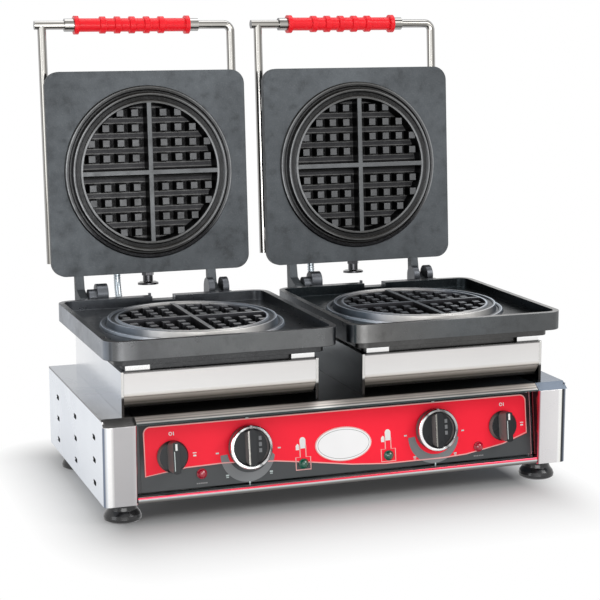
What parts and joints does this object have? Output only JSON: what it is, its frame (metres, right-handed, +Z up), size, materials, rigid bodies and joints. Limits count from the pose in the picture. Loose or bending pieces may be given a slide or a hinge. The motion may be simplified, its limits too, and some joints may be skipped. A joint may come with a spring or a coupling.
{
  "type": "double waffle baker",
  "caption": "Countertop double waffle baker with two hinged round cast plates, stainless base, tilted control panel with dials, and ribbed handles.",
  "frame": {"origin": "middle of the bounding box's bottom, on the surface that the feet stand on", "axes": "+X across the front to the viewer's right, +Y to the back, +Z up; the lids stand open at rest"},
  "size_m": [0.57, 0.3962, 0.5534],
  "materials": {
    "cheek_steel": "satin brushed stainless",
    "cover_steel": "satin brushed stainless",
    "box_steel": "bright stainless",
    "panel_metal": "dark painted sheet",
    "label_print": "printed film, satin",
    "badge_print": "white oval badge, blank",
    "foot_rubber": "black rubber",
    "fastener_steel": "bright screws and pins",
    "black_plastic": "moulded black plastic",
    "terminal_plastic": "ivory terminal block",
    "red_lens": "red lens",
    "green_lens": "green lens",
    "insulation": "mineral wool",
    "cast_plate": "seasoned cast iron, satin",
    "lid_cast": "seasoned cast iron, matte",
    "heater_steel": "heater tube",
    "lid_steel": "stainless cover",
    "chrome": "polished chrome",
    "grip_plastic": "red moulded grip",
    "conduit_steel": "flexible steel conduit"
  },
  "bodies": {
    "base": {"left_cheek": "cheek_steel", "right_cheek": "cheek_steel", "top_cover": "cover_steel", "bottom_plate": "cover_steel", "rear_panel": "cheek_steel", "front_rail": "cheek_steel", "control_panel": "panel_metal", "panel_label": "label_print", "badge": "badge_print", "rubber_feet": "foot_rubber", "foot_bolts": "fastener_steel", "cable_gland": "black_plastic", "terminal_block": "terminal_plastic", "thermostats": "fastener_steel", "rotary_switches": "black_plastic", "red_lamps": "red_lens", "green_lamps": "green_lens", "base_screws": "fastener_steel", "conduit_glands": "fastener_steel", "plate_tabs": "box_steel", "lower_insulation": "insulation", "left_heater_box": "box_steel", "right_heater_box": "box_steel", "heater_fronts": "box_steel", "left_lower_plate": "cast_plate", "right_lower_plate": "cast_plate", "left_lower_mould": "cast_plate", "right_lower_mould": "cast_plate", "lower_elements": "heater_steel", "left_hinge_bracket": "cast_plate", "right_hinge_bracket": "cast_plate", "hinge_pins": "fastener_steel", "left_conduit": "conduit_steel", "right_conduit": "conduit_steel"},
    "left_lid": {"left_upper_plate": "lid_cast", "left_upper_mould": "lid_cast", "left_lid_cover": "lid_steel", "left_upper_element": "heater_steel", "left_stop_stud": "fastener_steel", "left_handle_frame": "chrome", "left_grip": "grip_plastic", "left_collars": "chrome", "left_handle_clips": "fastener_steel", "left_lid_screws": "fastener_steel"},
    "left_thermostat_knob": {"left_thermostat_knob": "black_plastic", "left_knob_ring": "chrome"},
    "left_switch_knob": {"left_switch_knob": "black_plastic"},
    "right_lid": {"right_upper_plate": "lid_cast", "right_upper_mould": "lid_cast", "right_lid_cover": "lid_steel", "right_upper_element": "heater_steel", "right_stop_stud": "fastener_steel", "right_handle_frame": "chrome", "right_grip": "grip_plastic", "right_collars": "chrome", "right_handle_clips": "fastener_steel", "right_lid_screws": "fastener_steel"},
    "right_thermostat_knob": {"right_thermostat_knob": "black_plastic", "right_knob_ring": "chrome"},
    "right_switch_knob": {"right_switch_knob": "black_plastic"}
  },
  "joints": [
    {"name": "left_lid_hinge", "type": "hinge", "parent": "base", "child": "left_lid", "pos_m": [-0.1432, 0.10451, 0.1968], "axis": [1, 0, 0], "range_deg": [0, 94.3], "deforming": ["left_conduit"]},
    {"name": "left_thermostat_turn", "type": "hinge", "parent": "base", "child": "left_thermostat_knob", "pos_m": [-0.1135, -0.17794, 0.07309], "axis": [0, 0.9903, -0.1392], "range_deg": [0, 270]},
    {"name": "left_switch_turn", "type": "hinge", "parent": "base", "child": "left_switch_knob", "pos_m": [-0.203, -0.17843, 0.06963], "axis": [0, 0.9903, -0.1392], "range_deg": [0, 90]},
    {"name": "right_lid_hinge", "type": "hinge", "parent": "base", "child": "right_lid", "pos_m": [0.1432, 0.10451, 0.1968], "axis": [1, 0, 0], "range_deg": [0, 94.3], "deforming": ["right_conduit"]},
    {"name": "right_thermostat_turn", "type": "hinge", "parent": "base", "child": "right_thermostat_knob", "pos_m": [0.1175, -0.17794, 0.07309], "axis": [0, 0.9903, -0.1392], "range_deg": [0, 270]},
    {"name": "right_switch_turn", "type": "hinge", "parent": "base", "child": "right_switch_knob", "pos_m": [0.207, -0.17843, 0.06963], "axis": [0, 0.9903, -0.1392], "range_deg": [0, 90]}
  ]
}
